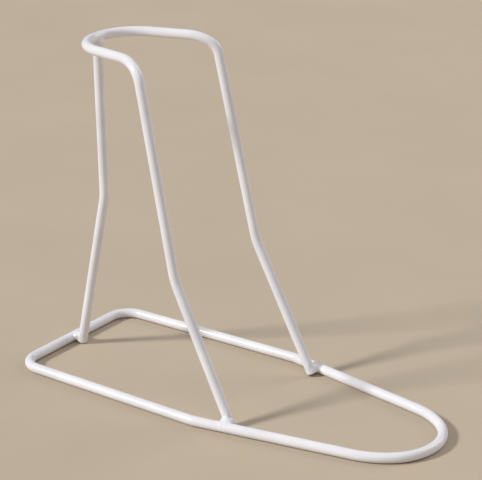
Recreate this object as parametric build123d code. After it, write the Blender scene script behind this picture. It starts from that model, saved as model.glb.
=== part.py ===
from build123d import *
import math
import os

os.makedirs("parts", exist_ok=True)

# A sock aid bent and welded from round steel rod, with a white plastic coating over the whole
# frame. X runs from the rear bar to the rounded toe, Y runs across, and Z is up. The origin is
# on the floor, under the middle of the base loop. All lengths are in millimetres.

# Rod stock
STEEL_D = 8.0  # bare rod
COAT_T = 0.75  # plastic coating on the rod
ROD_D = STEEL_D + 2 * COAT_T
END_GAP = 0.1  # the cut rod ends stay this far off the floor

# Base loop: centre lines, with x measured from the rear bar
BASE_LENGTH = 412.0
REAR_HALF = 79.6  # half width at the rear corners
REAR_CORNER_R = 21.4
RAIL_BEND_X = 208.9  # here the side rails turn in
RAIL_BEND_HALF = 83.0
RAIL_BEND_R = 34.0
NOSE_R = 51.7  # rounded toe: a tighter arc at its tip
NOSE_HALF_ANGLE = 47.6
NOSE_SIDE_R = 68.7  # and a wider arc on each side of it
BUTT_GAP = 1.5  # filled by the weld that closes the loop

# Hoop and front legs: one rod
HOOP_BACK_X = 40.6
HOOP_BACK_Z = 317.1
HOOP_TILT = 1.5  # the open side stands a little higher
HOOP_R = 42.1
SHOULDER_RUN = 77.3  # from the hoop's back to the bend in each arm
SHOULDER_HALF = 51.1
SHOULDER_R = 40.0
CORNER = (134.7, 58.9, 311.3)  # where the arms turn down: x, half width, height
CORNER_R = 19.0
KNEE = (175.8, 63.6, 126.4)
KNEE_R = 68.0
LEG_FLOOR = (240.2, 66.6)  # where the leg's centre line meets the floor: x, half width

# Rear post
POST_KNEE_X = 44.3
POST_KNEE_Z = 161.8
POST_KNEE_R = 52.0
POST_FLOOR_X = 10.4  # where the post's centre line meets the floor
POST_TOP_DROP = 2.0  # its coped top end stops this far below the hoop's centre line

# The weld that closes the loop is dressed down to a low ring
BUTT_RING_D = STEEL_D + 0.7
BUTT_RING_WIDTH = 2.6

# Other weld beads, bare: half length and radius
POST_BEAD = (4.9, 3.4)
LEG_BEAD = (5.2, 3.6)
TOP_BEAD = (3.2, STEEL_D / 2 + 1.1)
BEAD_HEIGHT = 6.6  # above the floor
TOP_BEAD_DROP = 5.6  # below the hoop's centre line


def place(x, y, z):
    """A point whose x is counted from the rear bar, in the part's own frame."""
    return Vector(x - BASE_LENGTH / 2, y, z)


def tangent_angle(centre_x, centre_y, radius, x, y):
    """Angle at which a line from (x, y) touches a circle that is walked anticlockwise."""
    reach = math.hypot(x - centre_x, y - centre_y)
    return math.degrees(math.atan2(y - centre_y, x - centre_x) - math.acos(radius / reach))


def side_arc():
    """Centre of the toe's left side arc, and the angle on it at which the left rail leaves."""
    swing = math.radians(NOSE_HALF_ANGLE)
    x = BASE_LENGTH - NOSE_R - (NOSE_SIDE_R - NOSE_R) * math.cos(swing)
    y = -(NOSE_SIDE_R - NOSE_R) * math.sin(swing)
    return x, y, tangent_angle(x, y, NOSE_SIDE_R, RAIL_BEND_X, RAIL_BEND_HALF)


def rail_direction():
    """Direction of the left rail from its bend towards the toe."""
    leaves = math.radians(side_arc()[2])
    return Vector(math.sin(leaves), -math.cos(leaves), 0)


def rail(side, toe_end):
    """Half of the rear bar, its corner and one side rail, as far as the toe's arcs."""
    return FilletPolyline(
        place(0, side * BUTT_GAP / 2, 0),
        place(0, side * REAR_HALF, 0),
        place(RAIL_BEND_X, side * RAIL_BEND_HALF, 0),
        toe_end,
        radius=[REAR_CORNER_R, RAIL_BEND_R],
    )


def base_path(closed=False):
    """Round the base loop from the middle of the rear bar, by the right rail and the toe."""
    x, y, leaves = side_arc()
    angle = math.radians(leaves)
    left_end = place(x + NOSE_SIDE_R * math.cos(angle), y + NOSE_SIDE_R * math.sin(angle), 0)
    right_end = Vector(left_end.X, -left_end.Y, 0)
    side_sweep = leaves - NOSE_HALF_ANGLE
    right_side = JernArc(
        right_end, (math.sin(angle), math.cos(angle)), NOSE_SIDE_R, side_sweep
    )
    nose = JernArc(right_side @ 1, right_side % 1, NOSE_R, 2 * NOSE_HALF_ANGLE)
    left_side = JernArc(nose @ 1, nose % 1, NOSE_SIDE_R, side_sweep)
    run = [*rail(-1, right_end).edges(), right_side.edge(), nose.edge(), left_side.edge()]
    run += reversed(rail(1, left_end).edges())
    if closed:
        run.append(Edge.make_line(place(0, BUTT_GAP / 2, 0), place(0, -BUTT_GAP / 2, 0)))
    return Pos(0, 0, ROD_D / 2) * Wire(run)


def hoop_point(run, y):
    """A point in the hoop's tilted plane, run forward from the back of the hoop."""
    tilt = math.radians(HOOP_TILT)
    return place(HOOP_BACK_X + run * math.cos(tilt), y, HOOP_BACK_Z + run * math.sin(tilt))


def leg_end(floor, knee, trim=0.0):
    """Where a rod that leans from knee to the floor is cut square, clear of the floor."""
    up = (knee - floor).normalized()
    lowest = ROD_D / 2 * math.sqrt(1 - up.Z**2) + END_GAP
    return floor + up * (lowest / up.Z + trim)


def arm(side, hoop_end, trim):
    """One arm of the hoop and its leg, from the back arc down to the cut end."""
    knee = place(KNEE[0], side * KNEE[1], KNEE[2])
    return FilletPolyline(
        hoop_end,
        hoop_point(SHOULDER_RUN, side * SHOULDER_HALF),
        place(CORNER[0], side * CORNER[1], CORNER[2]),
        knee,
        leg_end(place(LEG_FLOOR[0], side * LEG_FLOOR[1], 0), knee, trim),
        radius=[SHOULDER_R, CORNER_R, KNEE_R],
    )


def hoop_path(trim=0.0):
    """Right foot, leg, arm, back of the hoop, arm, leg and left foot: one bent rod."""
    shoulder_angle = math.atan2(SHOULDER_HALF, SHOULDER_RUN - HOOP_R)
    reach = math.hypot(SHOULDER_HALF, SHOULDER_RUN - HOOP_R)
    touch = shoulder_angle + math.acos(HOOP_R / reach)
    left = hoop_point(HOOP_R + HOOP_R * math.cos(touch), HOOP_R * math.sin(touch))
    right = Vector(left.X, -left.Y, left.Z)
    back = ThreePointArc(right, hoop_point(0, 0), left)
    right_arm = reversed(arm(-1, right, trim).edges())
    return Wire([*right_arm, back.edge(), *arm(1, left, trim).edges()])


def post_path(drop, trim=0.0):
    """From the cut end at the rear bar up to a drop below the hoop's centre line."""
    knee = place(POST_KNEE_X, 0, POST_KNEE_Z)
    foot = leg_end(place(POST_FLOOR_X, 0, 0), knee, trim)
    top = hoop_point(0, 0) - Vector(0, 0, drop)
    return FilletPolyline(foot, knee, top, radius=[POST_KNEE_R])


def rod(path, diameter):
    """A round rod along a path."""
    return sweep(Plane(path @ 0, z_dir=path % 0) * Circle(diameter / 2), path=path)


def bead(centre, along, across, size, grow=0.0):
    """A weld bead: a spheroid that lies along a direction, grown by its coating's thickness."""
    half_length, radius = size[0] + grow, size[1] + grow
    half = Rectangle(2 * half_length, radius, align=(Align.CENTER, Align.MIN))
    lens = revolve(Ellipse(half_length, radius) & half, Axis.X)
    return Plane(centre, x_dir=along, z_dir=across) * lens


def butt_ring():
    """The dressed weld that fills the butt gap and stands a little proud of the rod."""
    return Plane(place(0, 0, ROD_D / 2), z_dir=(0, 1, 0)) * Cylinder(BUTT_RING_D / 2, BUTT_RING_WIDTH)


def post_bead(grow=0.0):
    """The bead in the corner between the post and the rear bar."""
    lean = (POST_KNEE_X - POST_FLOOR_X) / POST_KNEE_Z
    between = (POST_FLOOR_X + lean * BEAD_HEIGHT) / 2
    centre = place(between, 0, BEAD_HEIGHT)
    return bead(centre, Vector(0, 1, 0), Vector(0, 0, 1), POST_BEAD, grow)


def leg_bead(grow=0.0):
    """The bead in the corner between the left leg and its rail."""
    floor = place(*LEG_FLOOR, 0)
    knee = place(*KNEE)
    leg = floor + (knee - floor) * (BEAD_HEIGHT / knee.Z)
    toward_toe = rail_direction()
    bend = place(RAIL_BEND_X, RAIL_BEND_HALF, BEAD_HEIGHT)
    rail = bend + toward_toe * (leg - bend).dot(toward_toe)
    return bead((leg + rail) * 0.5, toward_toe, Vector(0, 0, 1), LEG_BEAD, grow)


def top_bead(grow=0.0):
    """The ring of weld under the hoop, round the top of the post."""
    centre = hoop_point(0, 0) - Vector(0, 0, TOP_BEAD_DROP)
    return bead(centre, Vector(0, 0, 1), Vector(0, 1, 0), TOP_BEAD, grow)


def cut(shape, tools):
    """The shape less every tool."""
    for tool in tools:
        shape -= tool
    return shape


def build():
    """Every piece by name: the steel, its welds, and the coating in three lengths."""
    base_loop = rod(base_path(), STEEL_D)
    hoop_and_legs = rod(hoop_path(trim=COAT_T), STEEL_D)
    rear_post = rod(post_path(POST_TOP_DROP, COAT_T), STEEL_D) - hoop_and_legs
    rods = [base_loop, hoop_and_legs, rear_post]

    steel = {
        "base_loop": base_loop,
        "hoop_and_legs": hoop_and_legs,
        "rear_post": rear_post,
        "loop_butt_weld": butt_ring() - base_loop,
        "left_leg_weld": cut(leg_bead(), rods),
        "right_leg_weld": cut(mirror(leg_bead(), Plane.XZ), rods),
        "post_top_weld": cut(top_bead(), rods),
    }
    steel["post_foot_weld"] = cut(post_bead(), rods + [steel["loop_butt_weld"]])

    base_skin = rod(base_path(closed=True), ROD_D)
    hoop_skin = rod(hoop_path(), ROD_D)
    top_skin = hoop_skin + top_bead(COAT_T)
    post_skin = rod(post_path(TOP_BEAD_DROP), ROD_D) - top_skin
    leg_lump = leg_bead(COAT_T)
    for lump in [leg_lump, mirror(leg_lump, Plane.XZ), post_bead(COAT_T)]:
        base_skin += cut(lump, [hoop_skin, post_skin])
    coating = {
        "base_coating": base_skin,
        "hoop_coating": top_skin,
        "post_coating": post_skin,
    }
    pieces = dict(steel)
    for name, skin in coating.items():
        pieces[name] = cut(skin, steel.values())
    return pieces


for name, piece in build().items():
    piece.label = name
    export_step(piece, f"parts/{name}.step")
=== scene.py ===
import math

import bmesh
import bpy
import numpy as np
from mathutils import Matrix, Vector


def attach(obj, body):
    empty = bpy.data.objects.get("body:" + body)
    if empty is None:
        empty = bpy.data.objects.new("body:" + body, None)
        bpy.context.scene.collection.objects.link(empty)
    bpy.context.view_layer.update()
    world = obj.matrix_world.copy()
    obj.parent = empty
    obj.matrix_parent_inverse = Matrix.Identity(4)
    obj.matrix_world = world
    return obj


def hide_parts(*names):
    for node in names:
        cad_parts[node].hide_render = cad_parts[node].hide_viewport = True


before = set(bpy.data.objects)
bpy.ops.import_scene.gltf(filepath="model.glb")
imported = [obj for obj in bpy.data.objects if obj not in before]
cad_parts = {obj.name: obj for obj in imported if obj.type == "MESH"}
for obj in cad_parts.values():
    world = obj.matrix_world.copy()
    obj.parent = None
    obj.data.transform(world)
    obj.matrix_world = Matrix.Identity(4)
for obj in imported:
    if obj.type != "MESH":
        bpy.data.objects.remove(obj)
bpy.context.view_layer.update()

# A sock aid welded from steel rod under one continuous white plastic coating. The CAD model's
# steel stays as it is. Its three coating nodes are replaced by one skin, made as the level set of
# the rods and weld beads, blended softly where they meet, as melted plastic flows. Metres, in the
# frame of the CAD model: X towards the toe, Y to the left, Z up, the floor at zero.

ACROSS = np.array((0, 1.0, 0))
UP = np.array((0, 0, 1.0))
MIRROR = np.array((1, -1, 1))  # from the left side to the right
TINY = 1e-9  # keeps divisions safe

# Rod and frame, as in the CAD model. Each x counts from the rear bar, and each y is a half width.
ROD_R = 0.00475  # with its coating
END_GAP = 0.0001  # the rod ends stay this far off the floor
BASE_LENGTH = 0.412
REAR_HALF = 0.0796
REAR_CORNER_R = 0.0214
RAIL_BEND = (0.2089, 0.0830)  # x, y
RAIL_BEND_R = 0.034
NOSE_R = 0.0517  # the toe: a tighter arc at its tip
NOSE_HALF_ANGLE = math.radians(47.6)
NOSE_SIDE_R = 0.0687  # and a wider arc on each side of it
HOOP_BACK = (0.0406, 0.3171)  # x, z
HOOP_TILT = math.radians(1.5)  # the open side stands a little higher
HOOP_R = 0.0421
SHOULDER = (0.0773, 0.0511)  # run from the hoop's back, y
SHOULDER_R = 0.040
CORNER = (0.1347, 0.0589, 0.3113)  # where the arms turn down: x, y, z
CORNER_R = 0.019
KNEE = (0.1758, 0.0636, 0.1264)
KNEE_R = 0.068
LEG_FLOOR = (0.2402, 0.0666)  # where the leg's centre line meets the floor: x, y
POST_KNEE = (0.0443, 0.1618)  # x, z
POST_KNEE_R = 0.052
POST_FLOOR_X = 0.0104
POST_TOP_DROP = 0.003  # the post's line ends this far below the hoop's

# Weld beads with their coating: half length and radius
POST_BEAD = (0.00565, 0.00415)
LEG_BEAD = (0.00595, 0.00435)
TOP_BEAD = (0.00395, 0.00585)
BEAD_HEIGHT = 0.0066  # above the floor
TOP_BEAD_DROP = 0.0056  # below the hoop's centre line

# The skin's own detail
VOXEL = 0.001  # size of its faces
BLEND = 0.0018  # how far the plastic fills the angle between two rods
BEAD_BLEND = 0.0028  # and the hollows round a bead
END_ROUND = 0.0017  # rounding of the coated rod ends
END_REACH = 4 * ROD_R  # an end is cut only this near to it
SKIN_WAVER = 0.00006  # slow unevenness of the coating's thickness
BEAD_LUMP = 0.00030  # and the lumps over the weld beads
BEAD_REACH = 0.013  # which fade out this far from a bead
FLOOR_FADE = 0.0025  # the unevenness fades out this near the floor
# Waves that make both: radians per metre along x, y and z, and the phase
SLOW_WAVES = (((140, 0, 36), 0.0), ((0, 120, 103), 1.3), ((270, -196, 233), 0.7))
LUMP_WAVES = (((1205, 526, 0), 0.0), ((0, 1031, -588), 0.4), ((435, 0, 1408), 1.1))


def place(x, y, z):
    """A point whose x counts from the rear bar, in the model's frame."""
    return np.array((x - BASE_LENGTH / 2, y, z))


def unit(v):
    """The direction of a vector."""
    return v / np.linalg.norm(v)


# Centre lines: exact straight runs and arcs


def line(a, b):
    """A straight run."""
    return {"kind": "line", "a": a, "b": b}


def arc(centre, start, turn_to, radius, angle):
    """An arc from the unit direction start, turning towards the unit direction turn_to."""
    return {"kind": "arc", "c": centre, "u": start, "v": turn_to, "r": radius, "angle": angle}


def bent(corners, radii):
    """Straight runs through corners, each corner rounded by a tangent arc."""
    run = []
    at = corners[0]
    for i, radius in enumerate(radii, start=1):
        into = unit(corners[i] - corners[i - 1])
        out = unit(corners[i + 1] - corners[i])
        turn = math.acos(float(np.clip(into @ out, -1, 1)))
        cut = radius * math.tan(turn / 2)
        start = corners[i] - into * cut
        side = unit(out - into * (into @ out))
        run.append(line(at, start))
        run.append(arc(start + side * radius, -side, into, radius, turn))
        at = corners[i] + out * cut
    run.append(line(at, corners[-1]))
    return run


def mirrored(run):
    """The same run on the other side, walked the other way."""
    back = []
    for part in reversed(run):
        if part["kind"] == "line":
            back.append(line(part["b"] * MIRROR, part["a"] * MIRROR))
        else:
            u, v, angle = part["u"] * MIRROR, part["v"] * MIRROR, part["angle"]
            end = u * math.cos(angle) + v * math.sin(angle)
            turn_to = u * math.sin(angle) - v * math.cos(angle)
            back.append(arc(part["c"] * MIRROR, end, turn_to, part["r"], angle))
    return back


def side_arc():
    """Centre of the toe's left side arc, and the angle on it where the left rail leaves."""
    shift = NOSE_SIDE_R - NOSE_R
    x = BASE_LENGTH - NOSE_R - shift * math.cos(NOSE_HALF_ANGLE)
    y = -shift * math.sin(NOSE_HALF_ANGLE)
    reach = (RAIL_BEND[0] - x, RAIL_BEND[1] - y)
    leaves = math.atan2(reach[1], reach[0]) - math.acos(NOSE_SIDE_R / math.hypot(*reach))
    return place(x, y, ROD_R), leaves


def on_circle(angle):
    """A level direction, by its angle from X."""
    return np.array((math.cos(angle), math.sin(angle), 0))


def base_run():
    """The closed base loop: toe, rails, corners and rear bar."""
    side, leaves = side_arc()
    nose = place(BASE_LENGTH - NOSE_R, 0, ROD_R)
    start, turn_to = on_circle(NOSE_HALF_ANGLE), on_circle(NOSE_HALF_ANGLE + math.pi / 2)
    rail = bent(
        [side + NOSE_SIDE_R * on_circle(leaves), place(*RAIL_BEND, ROD_R),
         place(0, REAR_HALF, ROD_R), place(0, 0, ROD_R)],
        [RAIL_BEND_R, REAR_CORNER_R],
    )
    half = [
        arc(nose, on_circle(0), on_circle(math.pi / 2), NOSE_R, NOSE_HALF_ANGLE),
        arc(side, start, turn_to, NOSE_SIDE_R, leaves - NOSE_HALF_ANGLE),
        *rail,
    ]
    return mirrored(half) + half


def hoop_point(run, y):
    """A point in the hoop's tilted plane, run forward from the back of the hoop."""
    back_x, back_z = HOOP_BACK
    return place(back_x + run * math.cos(HOOP_TILT), y, back_z + run * math.sin(HOOP_TILT))


def rod_end(floor, knee):
    """The centre of the coated end of a rod that leans from knee to the floor."""
    up = unit(knee - floor)
    return floor + up * ((ROD_R * math.sqrt(1 - up[2] ** 2) + END_GAP) / up[2])


def hoop_run():
    """Right foot, leg, arm, back of the hoop, arm, leg and left foot."""
    forward = unit(hoop_point(1, 0) - hoop_point(0, 0))
    reach = (SHOULDER[0] - HOOP_R, SHOULDER[1])
    touch = math.atan2(reach[1], reach[0]) + math.acos(HOOP_R / math.hypot(*reach))
    centre = hoop_point(HOOP_R, 0)
    left = centre + HOOP_R * (math.cos(touch) * forward + math.sin(touch) * ACROSS)
    knee = place(*KNEE)
    foot = rod_end(place(*LEG_FLOOR, 0), knee)
    arm = bent(
        [left, hoop_point(*SHOULDER), place(*CORNER), knee, foot],
        [SHOULDER_R, CORNER_R, KNEE_R],
    )
    half_back = arc(centre, -forward, ACROSS, HOOP_R, math.pi - touch)
    half = [half_back] + arm
    return mirrored(half) + half


def post_run():
    """From the cut end at the rear bar up to just below the hoop's centre line."""
    knee = place(POST_KNEE[0], 0, POST_KNEE[1])
    foot = rod_end(place(POST_FLOOR_X, 0, 0), knee)
    top = hoop_point(0, 0) - POST_TOP_DROP * UP
    return bent([foot, knee, top], [POST_KNEE_R])


# Distances to the skin, and their gradients


def nearest(part, points):
    """Nearest points on a straight run or an arc."""
    if part["kind"] == "line":
        along = part["b"] - part["a"]
        t = np.clip((points - part["a"]) @ along / (along @ along), 0, 1)
        return part["a"] + t[:, None] * along
    rel = points - part["c"]
    angle = np.arctan2(rel @ part["v"], rel @ part["u"])
    angle = np.where(angle < part["angle"] / 2 - math.pi, angle + 2 * math.pi, angle)
    angle = np.clip(angle, 0, part["angle"])[:, None]
    return part["c"] + part["r"] * (np.cos(angle) * part["u"] + np.sin(angle) * part["v"])


def to_rod(run, points):
    """Distance from a rod's surface, and the direction away from its centre line."""
    best = np.full(len(points), np.inf)
    away = np.zeros_like(points)
    for part in run:
        off = points - nearest(part, points)
        d = np.linalg.norm(off, axis=1)
        closer = d < best
        best = np.where(closer, d, best)
        away = np.where(closer[:, None], off / np.maximum(d, TINY)[:, None], away)
    return best - ROD_R, away


def soft_min(one, two, reach):
    """The nearer of two surfaces, blended where they are about as near."""
    (a, away_a), (b, away_b) = one, two
    share = np.clip(0.5 + 0.5 * (b - a) / reach, 0, 1)
    d = b + (a - b) * share - reach * share * (1 - share)
    return d, away_b + (away_a - away_b) * share[:, None]


def soft_max(one, two, reach):
    """The farther of two surfaces, blended where they are about as far."""
    (a, away_a), (b, away_b) = one, two
    d, away = soft_min((-a, -away_a), (-b, -away_b), reach)
    return -d, -away


def rounded_end(skin, points, end, outward):
    """Cuts a rod off square at its end, with a rounded rim."""
    beyond = (points - end) @ outward
    near = np.linalg.norm(points - end, axis=1) < END_REACH
    d, away = soft_max(skin, (beyond, np.broadcast_to(outward, points.shape)), END_ROUND)
    return np.where(near, d, skin[0]), np.where(near[:, None], away, skin[1])


def to_bead(bead, points):
    """Distance from a bead's surface, and the direction away from it."""
    rel = points - bead["at"]
    along = rel @ bead["axis"]
    across = rel - along[:, None] * bead["axis"]
    half, r = bead["half"], bead["r"]
    scaled = np.sqrt((along / half) ** 2 + (across**2).sum(1) / r**2)
    slope = along[:, None] * bead["axis"] / half**2 + across / r**2
    steep = np.maximum(np.linalg.norm(slope, axis=1), TINY)
    return scaled * (scaled - 1) / steep, slope / steep[:, None]


# Weld beads, as the coating shows them


def spheroid(at, axis, half, r):
    """A bead's form: a spheroid that lies along its axis."""
    return {"at": at, "axis": axis, "half": half, "r": r}


def leg_bead(side):
    """The bead between a leg and its rail."""
    floor, knee = place(*LEG_FLOOR, 0), place(*KNEE)
    leg = floor + (knee - floor) * (BEAD_HEIGHT / knee[2])
    to_toe = -on_circle(side_arc()[1] + math.pi / 2)
    bend = place(*RAIL_BEND, BEAD_HEIGHT)
    rail = bend + to_toe * ((leg - bend) @ to_toe)
    flip = np.array((1, side, 1))
    return spheroid((leg + rail) / 2 * flip, to_toe * flip, *LEG_BEAD)


def post_bead():
    """The bead between the post and the rear bar."""
    lean = (POST_KNEE[0] - POST_FLOOR_X) / POST_KNEE[1]
    between = (POST_FLOOR_X + lean * BEAD_HEIGHT) / 2
    return spheroid(place(between, 0, BEAD_HEIGHT), ACROSS, *POST_BEAD)


def top_bead():
    """The ring under the hoop, round the top of the post."""
    return spheroid(hoop_point(0, 0) - TOP_BEAD_DROP * UP, UP, *TOP_BEAD)


BASE, HOOP, POST = base_run(), hoop_run(), post_run()
BEADS = [leg_bead(1), leg_bead(-1), post_bead(), top_bead()]


def ripple(points, waves):
    """The mean of some sine waves, from -1 to 1."""
    return sum(np.sin(points @ np.array(rate) + phase) for rate, phase in waves) / len(waves)


def waver(points):
    """Slow unevenness of the coating, and lumps over the weld beads."""
    near = np.zeros(len(points))
    for bead in BEADS:
        off = np.linalg.norm(points - bead["at"], axis=1)
        near = np.maximum(near, np.exp(-((off / BEAD_REACH) ** 4)))
    lift = SKIN_WAVER * ripple(points, SLOW_WAVES)
    lift += BEAD_LUMP * near * ripple(points, LUMP_WAVES)
    return lift * np.clip(points[:, 2] / FLOOR_FADE, 0, 1)


def skin(points):
    """Distance from the coating's surface, and its gradient."""
    hoop = to_rod(HOOP, points)
    foot, shin = HOOP[-1]["b"], unit(HOOP[-1]["b"] - HOOP[-1]["a"])
    hoop = rounded_end(hoop, points, foot, shin)
    hoop = rounded_end(hoop, points, foot * MIRROR, shin * MIRROR)
    post = to_rod(POST, points)
    post = rounded_end(post, points, POST[0]["a"], unit(POST[0]["a"] - POST[0]["b"]))
    whole = soft_min(soft_min(to_rod(BASE, points), hoop, BLEND), post, BLEND)
    for bead in BEADS:
        whole = soft_min(whole, to_bead(bead, points), BEAD_BLEND)
    return whole[0] - waver(points), whole[1]


# Meshes


def sampled(run, step=math.radians(2)):
    """Points along a run, close together only round its arcs."""
    points = []
    for part in run:
        if part["kind"] == "line":
            points.append(part["a"])
            continue
        for angle in np.arange(0, part["angle"], step):
            out = math.cos(angle) * part["u"] + math.sin(angle) * part["v"]
            points.append(part["c"] + part["r"] * out)
    return points


def rough_rod(name, run, closed=False):
    """A plain round rod, as a start for the skin."""
    points = sampled(run) + ([] if closed else [run[-1]["b"]])
    curve = bpy.data.curves.new(name, "CURVE")
    curve.dimensions = "3D"
    curve.bevel_depth = ROD_R
    curve.bevel_resolution = 6
    curve.use_fill_caps = True
    spline = curve.splines.new("POLY")
    spline.points.add(len(points) - 1)
    spline.points.foreach_set("co", np.c_[points, np.ones(len(points))].ravel())
    spline.use_cyclic_u = closed
    return add(name, curve)


def add(name, data):
    """A new object in the scene."""
    made = bpy.data.objects.new(name, data)
    bpy.context.scene.collection.objects.link(made)
    return made


def rough_bead(name, bead):
    """A plain spheroid, as a start for the skin round a bead."""
    mesh = bpy.data.meshes.new(name)
    form = bmesh.new()
    turn = Vector((0, 0, 1)).rotation_difference(Vector(bead["axis"])).to_matrix().to_4x4()
    size = Matrix.Diagonal((bead["r"], bead["r"], bead["half"], 1))
    move = Matrix.Translation(Vector(bead["at"]))
    bmesh.ops.create_icosphere(form, subdivisions=3, radius=1, matrix=move @ turn @ size)
    form.to_mesh(mesh)
    form.free()
    return add(name, mesh)


def merged(name, parts):
    """One closed mesh round all the parts, in small even faces."""
    graph = bpy.context.evaluated_depsgraph_get()
    form = bmesh.new()
    for part in parts:
        solid = bpy.data.meshes.new_from_object(part.evaluated_get(graph))
        form.from_mesh(solid)
        bpy.data.meshes.remove(solid)
        bpy.data.objects.remove(part)
    mesh = bpy.data.meshes.new(name)
    form.to_mesh(mesh)
    form.free()
    whole = add(name, mesh)
    remesh = whole.modifiers.new("even", "REMESH")
    remesh.mode = "VOXEL"
    remesh.voxel_size = VOXEL
    graph = bpy.context.evaluated_depsgraph_get()
    whole.data = bpy.data.meshes.new_from_object(whole.evaluated_get(graph))
    whole.modifiers.clear()
    bpy.data.meshes.remove(mesh)
    return whole


def settle(whole, rounds=14, last=2, ease=0.5):
    """Moves each vertex onto the skin, and evens out the faces in all but the last rounds."""
    mesh = whole.data
    count = len(mesh.vertices)
    points = np.empty(count * 3)
    mesh.vertices.foreach_get("co", points)
    points = points.reshape(-1, 3)
    ends = np.empty(len(mesh.edges) * 2, np.int64)
    mesh.edges.foreach_get("vertices", ends)
    one, two = ends.reshape(-1, 2).T
    valence = np.bincount(ends, minlength=count)[:, None]
    for turn in range(rounds):
        d, away = skin(points)
        away /= np.maximum(np.linalg.norm(away, axis=1), TINY)[:, None]
        points = points - d[:, None] * away
        if turn < rounds - last:
            total = np.stack([
                np.bincount(one, points[two, i], count) + np.bincount(two, points[one, i], count)
                for i in range(3)
            ], axis=1)
            pull = total / valence - points
            pull -= (pull * away).sum(1)[:, None] * away
            points = points + ease * pull
    mesh.vertices.foreach_set("co", points.ravel())
    mesh.polygons.foreach_set("use_smooth", np.ones(len(mesh.polygons), bool))
    mesh.update()


def make_coating():
    """The whole coating as one closed skin."""
    parts = [
        rough_rod("base", BASE, closed=True),
        rough_rod("hoop", HOOP),
        rough_rod("post", POST),
    ]
    parts += [rough_bead(f"bead_{i}", bead) for i, bead in enumerate(BEADS)]
    coating = merged("white_coating", parts)
    settle(coating)
    return coating


# Materials


def shader(name):
    """A new material with nothing but a Principled shader."""
    material = bpy.data.materials.new(name)
    material.use_nodes = True
    nodes, links = material.node_tree.nodes, material.node_tree.links
    nodes.clear()
    surface = nodes.new("ShaderNodeBsdfPrincipled")
    output = nodes.new("ShaderNodeOutputMaterial")
    links.new(surface.outputs["BSDF"], output.inputs["Surface"])
    return material, nodes, links, surface


def noise(nodes, links, scale, detail):
    """Noise in the object's own coordinates."""
    where = nodes.new("ShaderNodeTexCoord")
    made = nodes.new("ShaderNodeTexNoise")
    made.inputs["Scale"].default_value = scale
    made.inputs["Detail"].default_value = detail
    links.new(where.outputs["Object"], made.inputs["Vector"])
    return made.outputs["Fac"]


def tint(nodes, links, surface, value, low, high, start=0.35, end=0.65):
    """Colours the surface from low to high as the value goes from start to end."""
    made = nodes.new("ShaderNodeValToRGB")
    made.color_ramp.elements[0].position = start
    made.color_ramp.elements[1].position = end
    made.color_ramp.elements[0].color = (*low, 1)
    made.color_ramp.elements[1].color = (*high, 1)
    links.new(value, made.inputs["Fac"])
    links.new(made.outputs["Color"], surface.inputs["Base Color"])


def polish(nodes, links, surface, value, low, high, start=0.3, end=0.7):
    """Takes the roughness from low to high as the value goes from start to end."""
    made = nodes.new("ShaderNodeMapRange")
    made.inputs["From Min"].default_value = start
    made.inputs["From Max"].default_value = end
    made.inputs["To Min"].default_value = low
    made.inputs["To Max"].default_value = high
    links.new(value, made.inputs["Value"])
    links.new(made.outputs["Result"], surface.inputs["Roughness"])


def bump(nodes, links, surface, value, strength, distance):
    """Fine relief too small for the mesh."""
    made = nodes.new("ShaderNodeBump")
    made.inputs["Strength"].default_value = strength
    made.inputs["Distance"].default_value = distance
    links.new(value, made.inputs["Height"])
    links.new(made.outputs["Normal"], surface.inputs["Normal"])


def white_plastic():
    """Melted-on white plastic: glossy, a little uneven in gloss, with a fine ripple."""
    material, nodes, links, surface = shader("white_coating")
    cloud = noise(nodes, links, scale=28, detail=3)
    smear = noise(nodes, links, scale=90, detail=3)
    grain = noise(nodes, links, scale=420, detail=2)
    tint(nodes, links, surface, cloud, low=(0.80, 0.79, 0.82), high=(0.86, 0.85, 0.875))
    polish(nodes, links, surface, smear, low=0.14, high=0.24)
    bump(nodes, links, surface, grain, strength=0.12, distance=0.0002)
    surface.inputs["IOR"].default_value = 1.5
    surface.inputs["Subsurface Weight"].default_value = 0.08
    surface.inputs["Subsurface Radius"].default_value = (0.0012, 0.0010, 0.0008)
    return material


def drawn_steel():
    """Bright drawn rod, with a fine brushed grain."""
    material, nodes, links, surface = shader("drawn_steel")
    cloud = noise(nodes, links, scale=160, detail=4)
    smear = noise(nodes, links, scale=600, detail=2)
    grain = noise(nodes, links, scale=1500, detail=2)
    tint(nodes, links, surface, cloud, low=(0.42, 0.42, 0.43), high=(0.60, 0.60, 0.61))
    polish(nodes, links, surface, smear, low=0.28, high=0.45)
    bump(nodes, links, surface, grain, strength=0.1, distance=0.0001)
    surface.inputs["Metallic"].default_value = 1.0
    return material


def weld_metal():
    """Wire-brushed weld, darker and rougher than the rod."""
    material, nodes, links, surface = shader("weld_metal")
    cloud = noise(nodes, links, scale=500, detail=4)
    smear = noise(nodes, links, scale=900, detail=2)
    ripples = noise(nodes, links, scale=800, detail=3)
    tint(nodes, links, surface, cloud, low=(0.20, 0.18, 0.17), high=(0.42, 0.41, 0.40))
    polish(nodes, links, surface, smear, low=0.4, high=0.65)
    bump(nodes, links, surface, ripples, strength=0.4, distance=0.0003)
    surface.inputs["Metallic"].default_value = 1.0
    return material


def floor_paper():
    """Pale warm studio paper."""
    material, nodes, links, surface = shader("floor_paper")
    cloud = noise(nodes, links, scale=6, detail=3)
    fibre = noise(nodes, links, scale=900, detail=2)
    tint(nodes, links, surface, cloud, low=(0.50, 0.415, 0.31), high=(0.52, 0.43, 0.322))
    bump(nodes, links, surface, fibre, strength=0.15, distance=0.0002)
    surface.inputs["Roughness"].default_value = 0.8
    return material


def paint(piece, material):
    """Gives a piece one material."""
    piece.data.materials.clear()
    piece.data.materials.append(material)


# Studio

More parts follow.
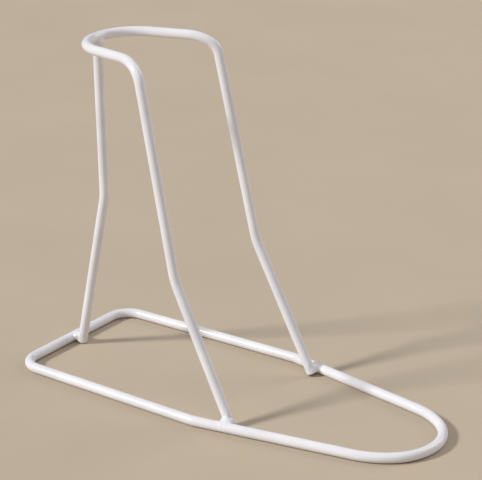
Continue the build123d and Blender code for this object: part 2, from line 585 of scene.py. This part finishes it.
FLOOR_SIZE = 36.0
FLOOR_CELLS = 8
CAMERA_AT = place(1.12673, -1.30362, 0.77013)
CAMERA_TURN = math.radians(35.31)  # from looking along Y, to the left
CAMERA_DIP = math.radians(21.15)
CAMERA_LENS = 140.8  # millimetres
CAMERA_CLIP = (0.05, 60)
# Each light: direction it comes from, its angle across, strength, colour
LIGHTS = {
    "key": ((-0.543, -0.619, 0.568), math.radians(9), 2.55, (1.0, 1.0, 1.0)),
    "fill": ((0.6, -0.9, 1.3), math.radians(40), 0.40, (0.97, 0.96, 1.0)),
    "back": ((0.45, 1.1, 0.8), math.radians(40), 0.88, (1.0, 0.99, 0.98)),
}
SKY = (0.97, 0.96, 1.0, 1)
SKY_STRENGTH = 0.30


def make_camera():
    """A long lens, looking at the frame from its right front."""
    data = bpy.data.cameras.new("camera")
    data.lens = CAMERA_LENS
    data.clip_start, data.clip_end = CAMERA_CLIP
    camera = add("camera", data)
    camera.location = CAMERA_AT
    camera.rotation_euler = (math.pi / 2 - CAMERA_DIP, 0, CAMERA_TURN)
    bpy.context.scene.camera = camera


def make_lights():
    """Soft even lights from far away, and a pale sky, with whites that stay white."""
    for name, (toward, angle, strength, colour) in LIGHTS.items():
        data = bpy.data.lights.new(name, "SUN")
        data.angle = angle
        data.energy = strength
        data.color = colour
        lamp = add(name, data)
        lamp.location = unit(np.array(toward))
        lamp.rotation_euler = Vector(toward).to_track_quat("Z", "Y").to_euler()
    world = bpy.data.worlds.new("studio")
    bpy.context.scene.world = world
    world.use_nodes = True
    sky = world.node_tree.nodes["Background"]
    sky.inputs["Color"].default_value = SKY
    sky.inputs["Strength"].default_value = SKY_STRENGTH
    bpy.context.scene.view_settings.view_transform = "Standard"


def make_floor():
    """A wide plain floor."""
    mesh = bpy.data.meshes.new("floor")
    form = bmesh.new()
    bmesh.ops.create_grid(
        form, x_segments=FLOOR_CELLS, y_segments=FLOOR_CELLS, size=FLOOR_SIZE / 2
    )
    form.to_mesh(mesh)
    form.free()
    floor = add("floor", mesh)
    paint(floor, floor_paper())


def make_object():
    """The coating, and the finish of the steel and the welds under it."""
    coating = make_coating()
    paint(coating, white_plastic())
    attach(coating, "root")
    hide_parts("base_coating", "hoop_coating", "post_coating")
    steel, weld = drawn_steel(), weld_metal()
    for name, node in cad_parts.items():
        if name.endswith("_weld"):
            paint(node, weld)
        elif not name.endswith("_coating"):
            paint(node, steel)


make_camera()
make_lights()
make_floor()
make_object()
